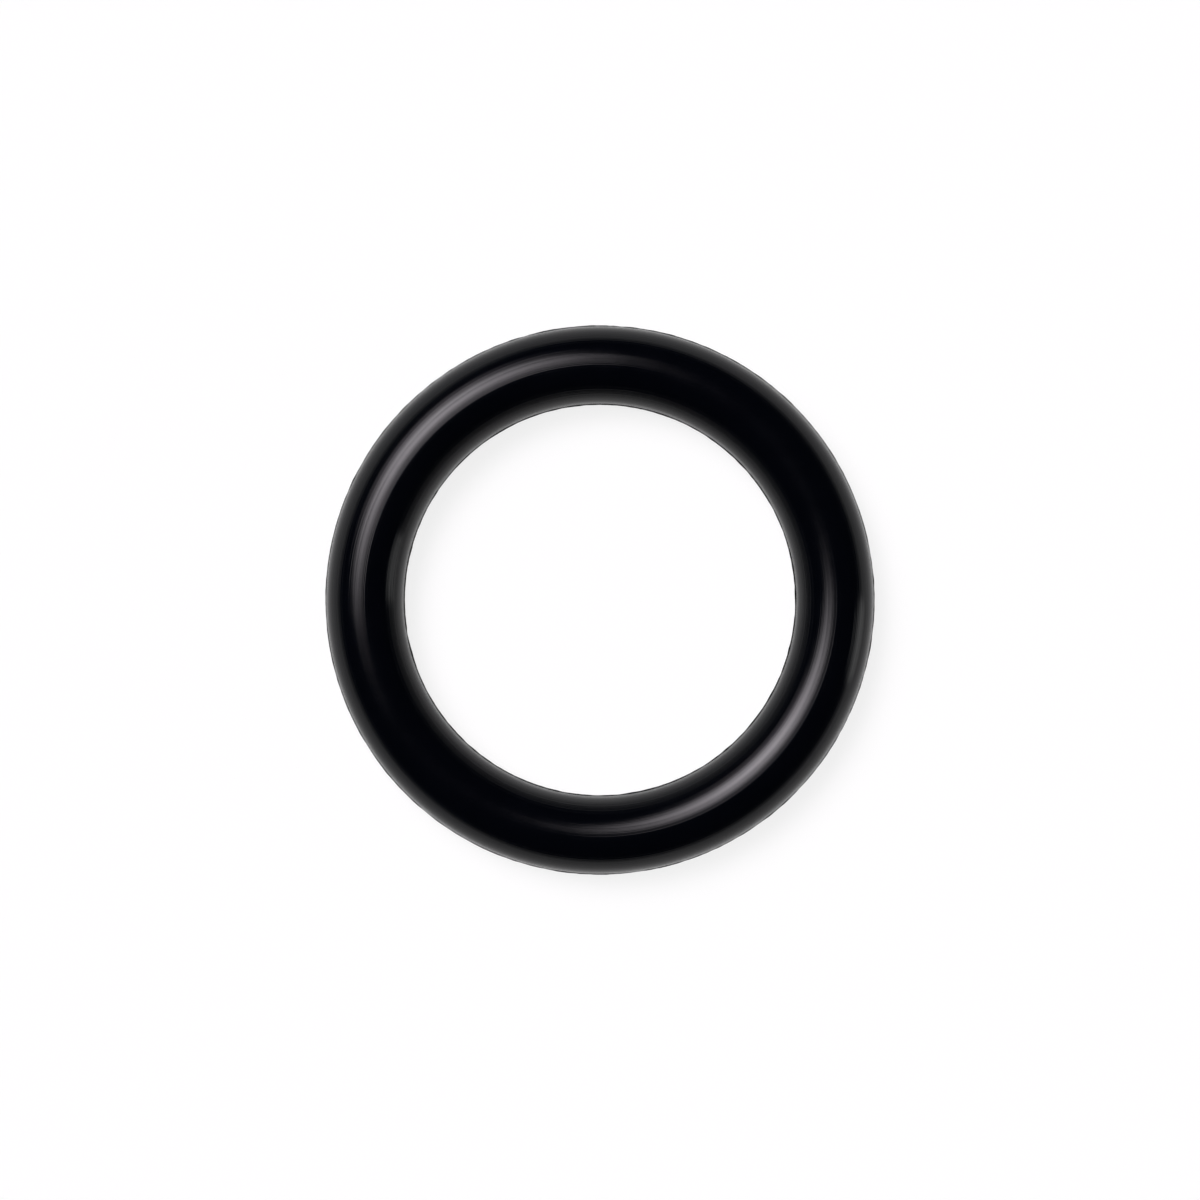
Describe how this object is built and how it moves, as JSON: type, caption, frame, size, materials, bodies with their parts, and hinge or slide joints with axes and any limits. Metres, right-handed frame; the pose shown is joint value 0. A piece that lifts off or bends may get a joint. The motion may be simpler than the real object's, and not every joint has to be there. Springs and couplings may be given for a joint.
{
  "type": "rubber o-ring",
  "caption": "Plain moulded rubber sealing ring with a round section, squeezed in a groove to seal a joint.",
  "frame": {"origin": "centre of the ring, half way between its two sides", "axes": "+Z along the ring's own axis; the ring lies flat, so +X and +Y are alike"},
  "size_m": [0.014, 0.014, 0.002],
  "materials": {
    "black_rubber": "black nitrile rubber, moulded, with a soft satin shine"
  },
  "bodies": {
    "root": {"o_ring": "black_rubber"}
  },
  "joints": []
}
